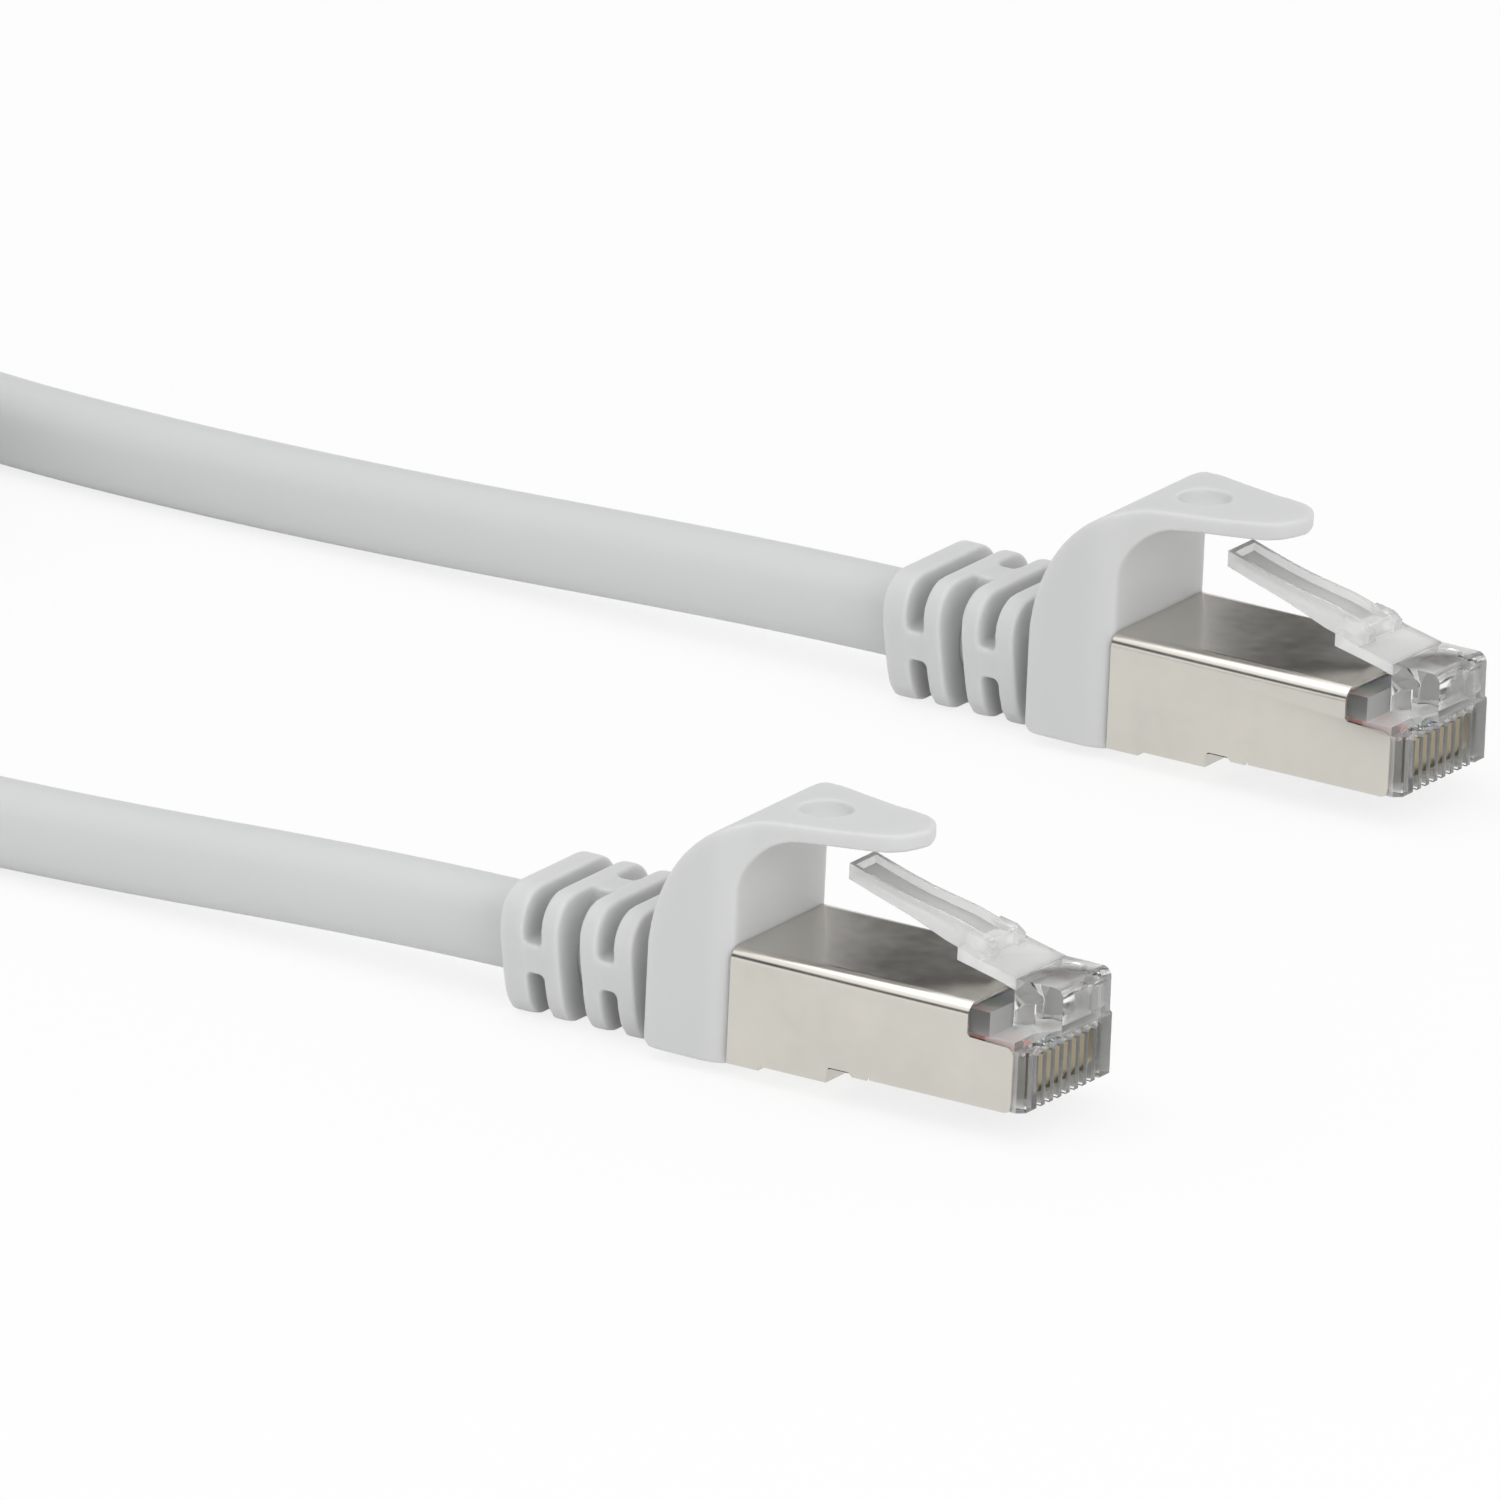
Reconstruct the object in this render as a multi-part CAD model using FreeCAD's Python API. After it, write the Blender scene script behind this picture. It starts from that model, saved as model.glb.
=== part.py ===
import FreeCAD, Part
import math
import os

# Ethernet patch cable: two shielded plugs in moulded boots on one round cable.
# Millimetres, +Z up. Each plug is drawn with its nose towards +X, its contact side at Z 0
# and its comb front at X 0, and is then moved to its place.

Vec = FreeCAD.Vector

# Where the front plug stands, seen from the rear plug
PLUG_STEP_X = 13.9
PLUG_SPACING = 69.4
PLUG_STEP_Y = -PLUG_SPACING

# Cable and what it holds
CABLE_RADIUS = 2.9
CABLE_AXIS_Z = 2.4
JACKET_WALL = 0.35
JACKET_BORE = CABLE_RADIUS - JACKET_WALL
BRAID_WALL = 0.15
PAIR_RADIUS = 0.94
PAIR_SLACK = 0.06
PAIR_OFFSET = JACKET_BORE - BRAID_WALL - PAIR_RADIUS - PAIR_SLACK
PAIR_SPREAD = 0.47
WIRE_RADIUS = 0.43
WIRE_PITCH = 1.02
WIRE_ROW_Z = 3.9
BORE_CLEARANCE = 0.05

# Contacts
CONTACT_COUNT = 8
BLADE_HALF = 0.2
BLADE_CLEARANCE = 0.06
BLADE_REAR = -5.0
BLADE_FRONT = -0.6
BLADE_LOW = 0.55
BLADE_TOP = 3.35
BLADE_NOSE = 1.0
SPIKE_WIDTH = 0.4
SPIKE_TOP = WIRE_ROW_Z + 0.05
SPIKE_SPOTS = (-4.4, -2.4)

# Housing
HOUSING_HALF = 5.6
HOUSING_TOP = 6.35
HOUSING_REAR = -20.4
COMB_TOP = 4.1
COMB_CORNER = 0.5
SHOULDER_TOP = 4.7
SHOULDER_REAR = -2.7
SHOULDER_FRONT = -0.8
BLOCK_HALF = 2.95
BLOCK_REAR = -2.55
BLOCK_FRONT = 1.1
BLOCK_LIP_Z = 4.8
BLOCK_TOP = 8.0
BLOCK_ROUND = 0.7
BLOCK_ROOT = 0.5
CAVITY_HALF = 4.4
CAVITY_FLOOR = 0.4
CAVITY_ROOF = 5.6
CAVITY_FRONT = -9.0
ROW_SIDE = 0.15
ROW_HALF = (CONTACT_COUNT - 1) / 2 * WIRE_PITCH + WIRE_RADIUS + ROW_SIDE
ROW_FRONT = -1.2
SLOT_HALF = BLADE_HALF + BLADE_CLEARANCE
SLOT_TOP = 3.7
SLOT_REAR = BLADE_REAR - 0.3

# Load bar
BAR_REAR = -12.0
BAR_FRONT = CAVITY_FRONT - 0.2
BAR_GAP = 0.05
BAR_HALF = CAVITY_HALF - 0.1
GROOVE_RADIUS = WIRE_RADIUS + BORE_CLEARANCE
FAN_START = 1.1
FAN_RUN = 2.9

# Latch: outlines are X and Z points from the root by the nose to the tip
LATCH_GAP = 0.3
LATCH_ROOT_X = BLOCK_REAR - LATCH_GAP
LATCH_ROOT_TOP = BLOCK_TOP + 0.02
LATCH_ROOT_LOW = 7.33
LATCH_PAD_HALF = BLOCK_HALF + 0.05
LATCH_UNDER = ((LATCH_ROOT_X, LATCH_ROOT_LOW), (-3.55, 7.56), (-6.33, 8.2))
SHOULDER_X = -6.9
SHOULDER_LOW = 8.33
SHOULDER_HIGH = 9.2
PAD_STEP_X = -5.2
PAD_STEP_Z = 8.65
LEVER_HALF = 1.55
LEVER_TIP = -16.1
LEVER_UNDER = ((-8.64, 8.87), (-11.45, 9.95), (-14.25, 10.83), (LEVER_TIP, 11.43))
LEVER_OVER = ((LEVER_TIP, 12.5), (-11.5, 11.17), (-8.17, 10.52), (-6.5, 10.02), (PAD_STEP_X, 9.75))
TROUGH_END = ((PAD_STEP_X + 0.2, 9.2), (PAD_STEP_X + 0.2, 14.0))
RIM_WIDTH = 0.45
CHANNEL_DEPTH = 0.55
PRONG_HALF = 2.1
PRONG = ((SHOULDER_X, 8.6), (-4.9, 8.4), (-4.9, 9.3), (-5.5, 9.75), (SHOULDER_X, 10.0))

# Shield
SHEET = 0.25
SHIELD_CLEARANCE = 0.1
SHIELD_HALF = HOUSING_HALF + SHIELD_CLEARANCE + SHEET
SHIELD_TOP = HOUSING_TOP + SHIELD_CLEARANCE + SHEET
SHIELD_REAR = -22.0
SHIELD_PLATE_FRONT = -4.15
SHIELD_FRONT = -0.7
SHIELD_STEP_Z = 4.55
SHIELD_BEND = 0.5
FOLD_LOW = -1.15
FOLD_LOW_FRONT = -19.6
FOLD_MID = -0.85
FOLD_MID_REAR = -19.4
FOLD_MID_FRONT = -14.8
FOLD_INSET = 0.1
FOLD_SLIT_TOP = -0.3
RECESS_REAR = FOLD_MID_FRONT + 0.35
RECESS_TOP = 0.2
TAB_REAR = -12.6
SLIT_REAR = -11.5
SLIT_FRONT = -11.3
SLIT_TOP = 0.5
NOSE_CORNER = 0.4
REAR_DROP = FOLD_MID + SHEET + SHIELD_CLEARANCE
CRIMP_SHEET = 0.2
CRIMP_CLEARANCE = 0.03
CRIMP_RADIUS = CABLE_RADIUS + BRAID_WALL + CRIMP_CLEARANCE + CRIMP_SHEET
CRIMP_REAR = -26.2
CRIMP_FRONT = -22.6
CRIMP_SEAM = 1.0
TAIL_HALF = 1.5
TAIL_OVERLAP = 0.4
TAIL_FRONT = -19.8

# Boot
BOOT_STEP = 0.25
BOOT_HALF = SHIELD_HALF + BOOT_STEP
BOOT_FRONT = SHIELD_REAR
BOOT_LENGTH = 6.2
BOOT_REAR = BOOT_FRONT - BOOT_LENGTH
BOOT_LOW = FOLD_LOW - BOOT_STEP
HOOD_SHOULDER_Z = 5.0
HOOD_TOP = 15.2
HOOD_CENTRE_X = BOOT_FRONT + 2.0
HOOD_EDGE = 0.45
ARM_THICKNESS = 1.2
ARM_UNDER = HOOD_TOP - ARM_THICKNESS
ARM_FILLET = 3.7
ARM_LENGTH = 10.9
ARM_TIP = BOOT_FRONT + ARM_LENGTH
ARM_TIP_TOP = HOOD_TOP + 0.2
ARM_SPLIT_AHEAD = 3.6
ARM_SPLIT = BOOT_FRONT + ARM_SPLIT_AHEAD
ARM_GAP = 0.3
DISH_X = ARM_SPLIT - 0.45
DISH_RADIUS = 1.65
DISH_DEPTH = 0.7
CAVITY_REAR = CRIMP_REAR - 0.4
CAVITY_CLEARANCE = 0.05
TAIL_SIDE_GAP = 0.1
SPLIT_LOW = SHIELD_TOP + 1.0

# Hood plan: how far ahead of the boot's front face, and how far in from its side
HOOD_PLAN = ((0, 0), (1.7, 1.25), (3.9, 2.4), (6.4, 2.8), (8.0, 3.05), (9.6, 4.0))

# Strain relief: ring widths and the gaps that follow them, from the cable side to the hood
RING_WIDTHS = (1.8, 1.3, 1.35, 1.4)
RING_GAPS = (1.3, 1.6, 1.25, 1.4)
RING_REACH = 4.5
RING_HALF = 5.75
RING_CORNER = 2.3
RING_EDGE = 0.35
SIDE_BRIDGE = 2.1
TOP_BRIDGE = 2.8
BRIDGE_REACH = 0.4
BRIDGE_INSET = 0.15
BOOT_END = BOOT_REAR - sum(RING_WIDTHS) - sum(RING_GAPS)

# Cable ends inside the plug
JACKET_FRONT = -23.3
BRAID_FRONT = JACKET_FRONT + 0.4
BRAID_REAR = CRIMP_REAR - 0.1
BRAID_END = BOOT_END + 0.2
PAIR_FRONT = -21.0

# Wound cable
COIL_REACH = 98.1
COIL_CENTRE_X = BOOT_END - COIL_REACH
COIL_RADIUS = 38.0
COIL_PITCH = 2 * CABLE_RADIUS + 0.6
COIL_TURNS = 3.5
LAYER_STEP = 2 * CABLE_RADIUS + 0.5
COIL_END_RUN = 2 * CABLE_RADIUS
STEPS_PER_TURN = 4

# Free cable: straight out of the boot, down to the floor, along it, and over to the loops
EXIT_RUN = 10.4
SLOPE_RUN_REAR = 34.0
SLOPE_RUN_FRONT = 28.0
FLOOR_RUN = 26.0
COIL_RUN_REAR = 9.4
COIL_RUN_FRONT = 12.4

FLOOR_Z = CABLE_AXIS_Z - RING_REACH
CABLE_FLOOR_Z = FLOOR_Z + CABLE_RADIUS


# Small helpers for boxes, side outlines and tubes
def block(along, across, height):
    size = [pair[1] - pair[0] for pair in (along, across, height)]
    return Part.makeBox(size[0], size[1], size[2], Vec(along[0], across[0], height[0]))


def side_prism(points, half_width):
    corners = [Vec(point[0], -half_width, point[1]) for point in points]
    face = Part.Face(Part.makePolygon(corners + [corners[0]]))
    return face.extrude(Vec(0, 2 * half_width, 0))


def rod(radius, rear, front, across=0.0, height=CABLE_AXIS_Z):
    return Part.makeCylinder(radius, front - rear, Vec(rear, across, height), Vec(1, 0, 0))


def sleeve(outer, inner, rear, front):
    return rod(outer, rear, front).cut(rod(inner, rear - 1, front + 1))


def long_edges(shape, height):
    found = []
    for edge in shape.Edges:
        box = edge.BoundBox
        if box.XLength > 1.0 and box.YLength < 0.01 and abs(box.ZMax - height) < 0.01:
            found.append(edge)
    return found


def tube_along(edges, radius):
    path = Part.Wire(edges)
    first = edges[0]
    start = first.valueAt(first.FirstParameter)
    heading = first.tangentAt(first.FirstParameter)
    ring = Part.Wire(Part.makeCircle(radius, start, heading))
    return path.makePipeShell([ring], True, False)


def rounded_route(points, label):
    edges = []
    radii = []
    position = points[0]
    for before, corner, after in zip(points, points[1:], points[2:]):
        into = (corner - before).normalize()
        out = (after - corner).normalize()
        turn = into.getAngle(out)
        reach = 0.45 * min((corner - before).Length, (after - corner).Length)
        radius = reach / math.tan(turn / 2)
        inward = (out - into).normalize()
        middle = corner + inward * (radius / math.cos(turn / 2) - radius)
        first = corner - into * reach
        last = corner + out * reach
        edges.append(Part.LineSegment(position, first).toShape())
        edges.append(Part.Arc(first, middle, last).toShape())
        radii.append(round(radius, 1))
        position = last
    edges.append(Part.LineSegment(position, points[-1]).toShape())
    if label:
        print(label, "arc radii mm", radii, "length mm", round(sum(e.Length for e in edges), 1))
    return edges


# Housing: clear body with the comb nose, the wire chamber and the rear cavity
def contact_rows():
    middle = (CONTACT_COUNT - 1) / 2
    return [(index - middle) * WIRE_PITCH for index in range(CONTACT_COUNT)]


def nose_block():
    root = COMB_TOP - BLOCK_ROOT
    outline = ((BLOCK_REAR, root), (-BLOCK_ROOT, root), (0.0, BLOCK_LIP_Z),
               (BLOCK_FRONT, BLOCK_LIP_Z), (BLOCK_FRONT, BLOCK_TOP), (BLOCK_REAR, BLOCK_TOP))
    nose = side_prism(outline, BLOCK_HALF)
    rounded = [edge for edge in nose.Edges
               if edge.BoundBox.YLength > 1 and edge.BoundBox.XMin > BLOCK_FRONT - 0.01
               and edge.BoundBox.ZMin > BLOCK_TOP - 0.01]
    return nose.makeFillet(BLOCK_ROUND, rounded)


def make_housing():
    body = block((HOUSING_REAR, SHOULDER_REAR), (-HOUSING_HALF, HOUSING_HALF), (0, HOUSING_TOP))
    body = body.fuse(block((HOUSING_REAR, FOLD_MID_FRONT), (-HOUSING_HALF, HOUSING_HALF), (REAR_DROP, 1)))
    body = body.fuse(block((SHOULDER_REAR, SHOULDER_FRONT), (-HOUSING_HALF, HOUSING_HALF), (0, SHOULDER_TOP)))
    comb = block((SHOULDER_REAR, 0), (-HOUSING_HALF, HOUSING_HALF), (0, COMB_TOP))
    uprights = [edge for edge in comb.Edges
                if edge.BoundBox.ZLength > 1 and edge.BoundBox.XMin > -0.01]
    comb = comb.makeChamfer(COMB_CORNER, uprights)
    body = body.fuse(comb)
    body = body.fuse(nose_block())
    body = body.cut(block((HOUSING_REAR - 1, CAVITY_FRONT), (-CAVITY_HALF, CAVITY_HALF),
                          (CAVITY_FLOOR, CAVITY_ROOF)))
    row_low = WIRE_ROW_Z - WIRE_RADIUS - BORE_CLEARANCE
    row_high = WIRE_ROW_Z + WIRE_RADIUS + BORE_CLEARANCE
    body = body.cut(block((CAVITY_FRONT - 1, ROW_FRONT), (-ROW_HALF, ROW_HALF), (row_low, row_high)))
    for across in contact_rows():
        slot = (across - SLOT_HALF, across + SLOT_HALF)
        body = body.cut(block((SLOT_REAR, ROW_FRONT + 0.2), slot, (-1, WIRE_ROW_Z)))
        body = body.cut(block((ROW_FRONT, 1), slot, (-1, SLOT_TOP)))
    return body.removeSplitter()


# Contacts: eight blades whose spikes stand in the conductors
def make_contacts():
    blades = []
    for across in contact_rows():
        side = (across - BLADE_HALF, across + BLADE_HALF)
        blade = block((BLADE_REAR, BLADE_FRONT), side, (BLADE_LOW, BLADE_TOP))
        nose = [edge for edge in blade.Edges
                if edge.BoundBox.YLength > 0.1 and edge.BoundBox.XMin > BLADE_FRONT - 0.01
                and edge.BoundBox.ZMax < BLADE_LOW + 0.01]
        blade = blade.makeFillet(BLADE_NOSE, nose)
        for spot in SPIKE_SPOTS:
            spike = block((spot - SPIKE_WIDTH / 2, spot + SPIKE_WIDTH / 2), side, (BLADE_TOP - 0.1, SPIKE_TOP))
            blade = blade.fuse(spike)
        blades.append(blade.removeSplitter())
    return Part.makeCompound(blades)


# Conductors: pair name, the two row places, and where the pair's foil lies around the axis
def pair_layout():
    return (("orange", (0, 1), (-1, 0)), ("green", (2, 5), (0, -1)),
            ("blue", (3, 4), (0, 1)), ("brown", (6, 7), (1, 0)))


def make_pair_wires(places, foil, contacts):
    rows = contact_rows()
    wires = []
    for side, place in zip((-1, 1), places):
        if foil[0] == 0:
            start_y = side * PAIR_SPREAD
            start_z = CABLE_AXIS_Z + foil[1] * PAIR_OFFSET
        else:
            start_y = foil[0] * PAIR_OFFSET
            start_z = CABLE_AXIS_Z - foil[0] * side * PAIR_SPREAD
        points = [Vec(PAIR_FRONT, start_y, start_z), Vec(PAIR_FRONT + FAN_START, start_y, start_z),
                  Vec(BAR_REAR - FAN_RUN, rows[place], WIRE_ROW_Z), Vec(ROW_FRONT - 0.1, rows[place], WIRE_ROW_Z)]
        wire = tube_along(rounded_route(points, ""), WIRE_RADIUS)
        wires.append(wire.cut(contacts))
    return Part.makeCompound(wires)


def make_pair_foils():
    foils = []
    for name, places, foil in pair_layout():
        across = foil[0] * PAIR_OFFSET
        height = CABLE_AXIS_Z + foil[1] * PAIR_OFFSET
        foils.append(rod(PAIR_RADIUS, BRAID_END, PAIR_FRONT, across, height))
    return Part.makeCompound(foils)


def make_load_bar():
    bar = block((BAR_REAR, BAR_FRONT), (-BAR_HALF, BAR_HALF), (CAVITY_FLOOR + BAR_GAP, WIRE_ROW_Z))
    for across in contact_rows():
        bar = bar.cut(rod(GROOVE_RADIUS, BAR_REAR - 1, BAR_FRONT + 1, across, WIRE_ROW_Z))
    return bar


# Braid and jacket at the cable's end
def make_braid():
    inner = JACKET_BORE - BRAID_WALL
    outer = CABLE_RADIUS + BRAID_WALL
    lining = sleeve(JACKET_BORE, inner, BRAID_END, BRAID_FRONT)
    fold = sleeve(outer, inner, JACKET_FRONT, BRAID_FRONT)
    turned = sleeve(outer, CABLE_RADIUS, BRAID_REAR, BRAID_FRONT)
    return lining.fuse([fold, turned]).removeSplitter()


def make_jacket_end():
    return sleeve(CABLE_RADIUS, JACKET_BORE, BOOT_END, JACKET_FRONT)


# Latch: wide root pad, shoulders and the rising channel-shaped lever
def lever_trough():
    tip, next_point = LEVER_OVER[0], LEVER_OVER[1]
    slope = (tip[1] - next_point[1]) / (tip[0] - next_point[0])
    tip_inner = LEVER_TIP + RIM_WIDTH
    tip_low = (tip_inner, tip[1] + RIM_WIDTH * slope - CHANNEL_DEPTH)
    floor = tuple((point[0], point[1] - CHANNEL_DEPTH) for point in LEVER_OVER[1:4])
    outline = ((tip_inner, TROUGH_END[1][1]), tip_low) + floor + TROUGH_END
    return side_prism(outline, LEVER_HALF - RIM_WIDTH)


def make_prongs():
    rear, front = PRONG[0][0] - 1, PRONG[1][0] + 1
    low, high = PRONG[1][1] - 1, PRONG[-1][1] + 1
    inner = LEVER_HALF - RIM_WIDTH
    whole = side_prism(PRONG, PRONG_HALF)
    return whole.cut(block((rear, front), (-inner, inner), (low, high)))


def make_latch():
    shoulders = ((SHOULDER_X, SHOULDER_LOW), (SHOULDER_X, SHOULDER_HIGH))
    root = ((PAD_STEP_X, PAD_STEP_Z), (LATCH_ROOT_X, LATCH_ROOT_TOP))
    pad = side_prism(LATCH_UNDER + shoulders + root, LATCH_PAD_HALF)
    lever = side_prism(((PAD_STEP_X, LATCH_UNDER[-1][1]), LATCH_UNDER[-1]) + LEVER_UNDER + LEVER_OVER, LEVER_HALF)
    latch = pad.fuse(lever).cut(lever_trough())
    return latch.fuse(make_prongs()).removeSplitter()


# Shield: folded sheet over the housing, folded floor and crimp tail
def shield_outline():
    rear_fold = ((SHIELD_REAR, FOLD_LOW), (FOLD_LOW_FRONT, FOLD_LOW), (FOLD_LOW_FRONT, FOLD_SLIT_TOP))
    mid_fold = ((FOLD_MID_REAR, FOLD_SLIT_TOP), (FOLD_MID_REAR, FOLD_MID), (FOLD_MID_FRONT, FOLD_MID))
    recess = ((RECESS_REAR, FOLD_MID + 0.35), (RECESS_REAR, RECESS_TOP), (TAB_REAR - 0.1, RECESS_TOP), (TAB_REAR, 0))
    slit = ((SLIT_REAR, 0), (SLIT_REAR, SLIT_TOP), (SLIT_FRONT, SLIT_TOP), (SLIT_FRONT, 0))
    nose = ((SHIELD_FRONT - NOSE_CORNER, 0), (SHIELD_FRONT, NOSE_CORNER), (SHIELD_FRONT, SHIELD_STEP_Z - 0.55))
    step = ((SHIELD_FRONT - NOSE_CORNER, SHIELD_STEP_Z - 0.15), (SHIELD_PLATE_FRONT, SHIELD_STEP_Z))
    top = ((SHIELD_PLATE_FRONT, SHIELD_TOP + 1), (SHIELD_REAR, SHIELD_TOP + 1))
    return rear_fold + mid_fold + recess + slit + nose + step + top


def shield_skin():
    outer = block((SHIELD_REAR, SHIELD_FRONT), (-SHIELD_HALF, SHIELD_HALF), (FOLD_LOW, SHIELD_TOP))
    outer = outer.makeFillet(SHIELD_BEND, long_edges(outer, SHIELD_TOP))
    inside = SHIELD_HALF - SHEET
    inner = block((SHIELD_REAR - 1, 1), (-inside, inside), (FOLD_LOW - 1, SHIELD_TOP - SHEET))
    inner = inner.makeFillet(SHIELD_BEND - SHEET, long_edges(inner, SHIELD_TOP - SHEET))
    return outer.cut(inner).common(side_prism(shield_outline(), SHIELD_HALF + 1))


def make_shield():
    across = (-SHIELD_HALF + FOLD_INSET, SHIELD_HALF - FOLD_INSET)
    rear_floor = block((SHIELD_REAR, FOLD_LOW_FRONT), across, (FOLD_LOW, FOLD_LOW + SHEET))
    mid_floor = block((FOLD_MID_REAR, FOLD_MID_FRONT), across, (FOLD_MID, FOLD_MID + SHEET))
    crimp = sleeve(CRIMP_RADIUS, CRIMP_RADIUS - CRIMP_SHEET, CRIMP_REAR, CRIMP_FRONT)
    seam = (-CRIMP_SEAM / 2, CRIMP_SEAM / 2)
    above = (CABLE_AXIS_Z, CABLE_AXIS_Z + 2 * CRIMP_RADIUS)
    crimp = crimp.cut(block((CRIMP_REAR - 1, CRIMP_FRONT + 1), seam, above))
    tail_top = CABLE_AXIS_Z - CRIMP_RADIUS + CRIMP_SHEET
    tail = block((CRIMP_FRONT - TAIL_OVERLAP, TAIL_FRONT), (-TAIL_HALF, TAIL_HALF), (FOLD_LOW + SHEET, tail_top))
    tail = tail.cut(rod(CRIMP_RADIUS - CRIMP_SHEET, CRIMP_REAR, CRIMP_FRONT + 2))
    return shield_skin().fuse([rear_floor, mid_floor, crimp, tail]).removeSplitter()


# Boot: hood with its press arm, and the ring-shaped strain relief
def hood_side():
    half = BOOT_HALF
    tip_low = ARM_TIP_TOP - (HOOD_TOP - ARM_UNDER)
    base = Vec(HOOD_CENTRE_X, -half, HOOD_SHOULDER_Z)
    crown = Vec(HOOD_CENTRE_X, -half, HOOD_TOP)
    rear = Vec(BOOT_REAR, -half, HOOD_SHOULDER_Z)
    back = Part.ArcOfEllipse(Part.Ellipse(crown, rear, base), 0, math.pi / 2).toShape()
    fillet_x = BOOT_FRONT + ARM_FILLET
    fillet_z = ARM_UNDER - ARM_FILLET
    diagonal = ARM_FILLET * math.sqrt(0.5)
    under = Part.Arc(Vec(fillet_x, -half, ARM_UNDER), Vec(fillet_x - diagonal, -half, fillet_z + diagonal),
                     Vec(BOOT_FRONT, -half, fillet_z)).toShape()
    corners = [Vec(BOOT_FRONT, -half, fillet_z), Vec(BOOT_FRONT, -half, BOOT_LOW),
               Vec(BOOT_REAR, -half, BOOT_LOW), rear]
    lines = [Part.LineSegment(a, b).toShape() for a, b in zip(corners, corners[1:])]
    tip = [crown, Vec(ARM_TIP, -half, ARM_TIP_TOP), Vec(ARM_TIP, -half, tip_low),
           Vec(fillet_x, -half, ARM_UNDER)]
    lines_tip = [Part.LineSegment(a, b).toShape() for a, b in zip(tip, tip[1:])]
    face = Part.Face(Part.Wire(lines + [back] + lines_tip + [under]))
    return face.extrude(Vec(0, 2 * half, 0))


def hood_plan():
    outline = [(BOOT_FRONT + ahead, BOOT_HALF - inset) for ahead, inset in HOOD_PLAN]
    near = [Vec(x, -half, 0) for x, half in outline]
    far = [Vec(x, half, 0) for x, half in reversed(outline)]
    curve = Part.BSplineCurve()
    curve.interpolate(near + [Vec(ARM_TIP, 0, 0)] + far)
    rear = BOOT_REAR - 1
    back = Part.makePolygon([far[-1], Vec(rear, BOOT_HALF, 0), Vec(rear, -BOOT_HALF, 0), near[0]])
    border = Part.Wire([curve.toShape()] + back.Edges)
    plan = Part.Face(border).extrude(Vec(0, 0, 2 * HOOD_TOP))
    plan.translate(Vec(0, 0, BOOT_LOW - 1))
    return plan


def make_hood():
    side = hood_side()
    rear_edges = [edge for edge in side.Edges
                  if edge.BoundBox.YLength < 0.01 and edge.BoundBox.XMin < BOOT_REAR + 0.01
                  and edge.BoundBox.ZLength > 1]
    side = side.makeFillet(HOOD_EDGE, rear_edges)
    hood = side.common(hood_plan())
    ball = (DISH_RADIUS ** 2 + DISH_DEPTH ** 2) / (2 * DISH_DEPTH)
    dish = Part.makeSphere(ball, Vec(DISH_X, 0, HOOD_TOP + ball - DISH_DEPTH))
    return hood.cut(dish)


def make_ring(rear, front):
    low = FLOOR_Z
    high = CABLE_AXIS_Z + RING_REACH
    ring = block((rear, front), (-RING_HALF, RING_HALF), (low, high))
    corners = [edge for edge in ring.Edges if edge.BoundBox.XLength > 1]
    ring = ring.makeFillet(RING_CORNER, corners)
    rims = [edge for edge in ring.Edges if edge.BoundBox.XLength < 0.01]
    return ring.makeFillet(RING_EDGE, rims)


def make_bridges(rear, front, sideways):
    along = (rear - BRIDGE_REACH, front + BRIDGE_REACH)
    if sideways:
        half = SIDE_BRIDGE / 2
        wide = RING_HALF - BRIDGE_INSET
        return block(along, (-wide, wide), (CABLE_AXIS_Z - half, CABLE_AXIS_Z + half))
    half = TOP_BRIDGE / 2
    reach = RING_REACH - BRIDGE_INSET
    return block(along, (-half, half), (CABLE_AXIS_Z - reach, CABLE_AXIS_Z + reach))


def strain_relief():
    pieces = []
    rear = BOOT_END
    for index, (width, gap) in enumerate(zip(RING_WIDTHS, RING_GAPS)):
        front = rear + width
        pieces.append(make_ring(rear, front))
        pieces.append(make_bridges(front, front + gap, index % 2 == 0))
        rear = front + gap
    return pieces


def boot_cavity():
    cavity = rod(CRIMP_RADIUS + CAVITY_CLEARANCE, CAVITY_REAR, BOOT_FRONT + 1)
    bore = rod(CABLE_RADIUS + BORE_CLEARANCE, BOOT_END - 1, CAVITY_REAR + 1)
    side = TAIL_HALF + TAIL_SIDE_GAP
    low = FOLD_LOW + SHEET - CAVITY_CLEARANCE
    tail = block((CRIMP_FRONT - TAIL_OVERLAP - TAIL_SIDE_GAP, BOOT_FRONT + 1), (-side, side), (low, CABLE_AXIS_Z))
    return cavity.fuse([bore, tail])


def make_boot_and_arm():
    moulding = make_hood().fuse(strain_relief()).cut(boot_cavity())
    moulding = moulding.removeSplitter()
    across = (-BOOT_HALF - 1, BOOT_HALF + 1)
    above = (SPLIT_LOW, ARM_TIP_TOP + 1)
    boot = moulding.cut(block((ARM_SPLIT - ARM_GAP / 2, ARM_TIP + 1), across, above))
    arm = moulding.common(block((ARM_SPLIT + ARM_GAP / 2, ARM_TIP + 1), across, above))
    return boot, arm


# Cable runs and the wound length
def coil_point(turns):
    middle = COIL_TURNS / 2
    radius = COIL_RADIUS - COIL_PITCH * (middle - abs(turns - middle))
    angle = 2 * math.pi * (turns + 0.25)
    climb = min(max((turns - middle) * 2 + 0.5, 0), 1)
    height = CABLE_FLOOR_Z + LAYER_STEP * climb * climb * (3 - 2 * climb)
    centre_y = PLUG_STEP_Y / 2
    return Vec(COIL_CENTRE_X + radius * math.cos(angle), centre_y + radius * math.sin(angle), height)


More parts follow.
